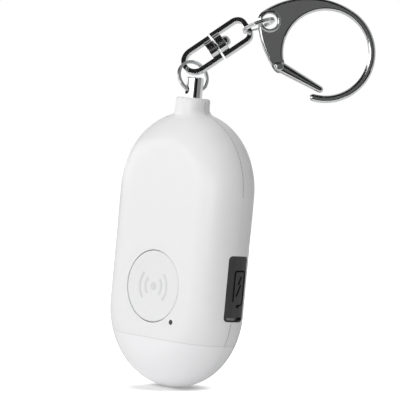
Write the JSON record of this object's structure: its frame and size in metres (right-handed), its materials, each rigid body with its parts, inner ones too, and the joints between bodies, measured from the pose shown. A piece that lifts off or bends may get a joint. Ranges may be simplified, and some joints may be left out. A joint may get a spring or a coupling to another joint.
{
  "type": "personal safety alarm",
  "caption": "Palm-sized pill-shaped alarm casing with a round push button, a lens end and a pull pin that hangs from a split ring, swivel and spring clip.",
  "frame": {"origin": "middle of the casing, on the pull pin's axis and the plane where the shells part", "axes": "+Z along the casing to its neck and pull pin, -Y out of the front face with the button, +X to the side with the charging port"},
  "size_m": [0.0608, 0.05, 0.1208],
  "materials": {
    "white_case": "fine satin moulded plastic",
    "milky_lens": "milky plastic that lets the flash through",
    "screw_steel": "zinc plated steel",
    "black_plastic": "moulded",
    "lamp_chip": "phosphor over a white package",
    "smoked_lens": "dark clear rod",
    "board_green": "solder mask",
    "ferrite": "sintered ferrite",
    "chip_black": "moulded package",
    "socket_steel": "drawn steel shell",
    "black_rubber": "matt moulded rubber",
    "pouch_silver": "laminated pouch",
    "foam_tape": "adhesive foam",
    "silicone": "soft ring",
    "brass_disc": "rolled sheet",
    "ceramic": "silvered ceramic disc",
    "white_tray": "moulded",
    "contact_brass": "plated strip",
    "pin_steel": "turned steel",
    "lead_sleeve": "thin wire sleeve",
    "chrome": "polished nickel-chrome plate"
  },
  "bodies": {
    "casing": {"front_shell": "white_case", "rear_shell": "white_case", "lens_cap": "milky_lens", "case_screws": "screw_steel", "tact_switch": "black_plastic", "status_lamp": "lamp_chip", "light_pipe": "smoked_lens", "main_board": "board_green", "board_screws": "screw_steel", "step_up_coil": "ferrite", "controller_chip": "chip_black", "charger_chip": "chip_black", "usb_receptacle": "socket_steel", "cover_tail": "black_rubber", "battery": "pouch_silver", "battery_pad": "foam_tape", "battery_leads": "lead_sleeve", "siren_ring": "silicone", "siren_plate": "brass_disc", "siren_ceramic": "ceramic", "siren_clamp": "black_plastic", "flash_lamps": "lamp_chip", "lamp_reflector": "white_tray", "neck_sleeve": "white_tray", "pin_socket": "black_plastic", "pin_contacts": "contact_brass"},
    "alarm_button": {"sos_button": "white_case"},
    "plunger": {"switch_plunger": "black_plastic"},
    "port_flap": {"port_cover": "black_rubber"},
    "pull_pin": {"pin_shaft": "pin_steel", "pin_bands": "contact_brass"},
    "ferrule": {"pin_head": "chrome"},
    "pin_ring": {"split_ring": "chrome"},
    "swivel_lower": {"lower_link": "chrome", "swivel_washer": "chrome", "swivel_pin": "chrome"},
    "swivel_upper": {"upper_link": "chrome"},
    "hook_ring": {"clip_ring": "chrome"},
    "spring_clip": {"clip_frame": "chrome", "gate_rivet": "chrome"},
    "clip_gate": {"clip_gate": "chrome", "gate_spring": "pin_steel"}
  },
  "joints": [
    {"name": "button_press", "type": "slide", "parent": "casing", "child": "alarm_button", "axis": [0, 1, 0], "range_m": [0, 0.0005], "stiffness_N_per_m": 2000},
    {"name": "plunger_press", "type": "slide", "parent": "casing", "child": "plunger", "axis": [0, 1, 0], "range_m": [0, 0.0005], "stiffness_N_per_m": 0.5},
    {"name": "port_cover_hinge", "type": "hinge", "parent": "casing", "child": "port_flap", "pos_m": [0.02402, 0, 0.0002], "axis": [0, -1, 0], "range_deg": [0, 110]},
    {"name": "pin_pull", "type": "slide", "parent": "casing", "child": "pull_pin", "axis": [0, 0, 1], "range_m": [0, 0.015]},
    {"name": "ferrule_turn", "type": "hinge", "parent": "pull_pin", "child": "ferrule", "pos_m": [0, 0, 0.048], "axis": [0, 0, 1], "continuous": true},
    {"name": "pin_ring_swing", "type": "hinge", "parent": "ferrule", "child": "pin_ring", "pos_m": [0, 0, 0.048], "axis": [0.342, 0.9397, 0], "range_deg": [-75, 110]},
    {"name": "lower_link_swing", "type": "hinge", "parent": "pin_ring", "child": "swivel_lower", "pos_m": [-0.00293, 0.00107, 0.05656], "axis": [-0.342, -0.9397, 0], "range_deg": [-20, 90]},
    {"name": "swivel_turn", "type": "hinge", "parent": "swivel_lower", "child": "swivel_upper", "pos_m": [0.00144, 0.00624, 0.06156], "axis": [0.5567, 0.5376, 0.6334], "continuous": true},
    {"name": "hook_ring_swing", "type": "hinge", "parent": "swivel_upper", "child": "hook_ring", "pos_m": [0.00841, 0.01259, 0.06866], "axis": [-0.7419, -0.0214, 0.6702], "range_deg": [-90, 75]},
    {"name": "clip_swing", "type": "hinge", "parent": "hook_ring", "child": "spring_clip", "pos_m": [0.01355, 0.01756, 0.07133], "axis": [0.6398, -0.7552, 0.1426], "range_deg": [-20, 60]},
    {"name": "gate_swing", "type": "hinge", "parent": "spring_clip", "child": "clip_gate", "pos_m": [0.01577, 0.01971, 0.0576], "axis": [0.6947, -0.7193, 0], "range_deg": [0, 45], "stiffness_Nm_per_rad": 0.02}
  ],
  "couplings": [
    {"joint": "plunger_press", "follows": "button_press", "ratio": 1}
  ]
}
